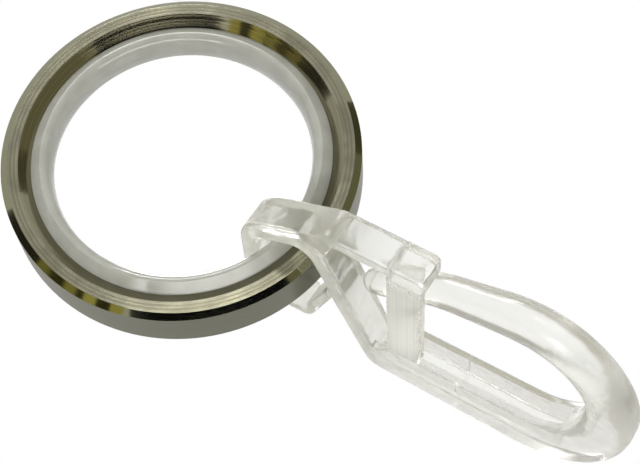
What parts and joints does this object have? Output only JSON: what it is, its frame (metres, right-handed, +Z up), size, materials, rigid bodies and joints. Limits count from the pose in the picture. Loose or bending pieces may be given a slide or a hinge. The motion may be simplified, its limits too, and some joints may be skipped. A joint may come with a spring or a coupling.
{
  "type": "curtain ring",
  "caption": "Metal curtain ring with a plastic glide lining and a clear moulded hook clipped on, for hanging a pleated curtain from a rod.",
  "frame": {"origin": "middle of the ring's bore, halfway through its width", "axes": "+Y along the bore to the back of the ring, +Z up, away from the hook, +X to the side of the hook's free arm"},
  "size_m": [0.034, 0.0201, 0.0657],
  "materials": {
    "satin_nickel": "satin plated, with bright turned bevels",
    "milky_plastic": "smooth translucent",
    "clear_plastic": "clear moulded, crossbar frosted"
  },
  "bodies": {
    "ring": {"metal_ring": "satin_nickel", "glide_lining": "milky_plastic"},
    "hook": {"clear_hook": "clear_plastic"}
  },
  "joints": [
    {"name": "hook_swing", "type": "hinge", "parent": "ring", "child": "hook", "pos_m": [-0.0037, 0, -0.01577], "axis": [0.9736, 0, -0.2284], "range_deg": [-58, 12]}
  ]
}
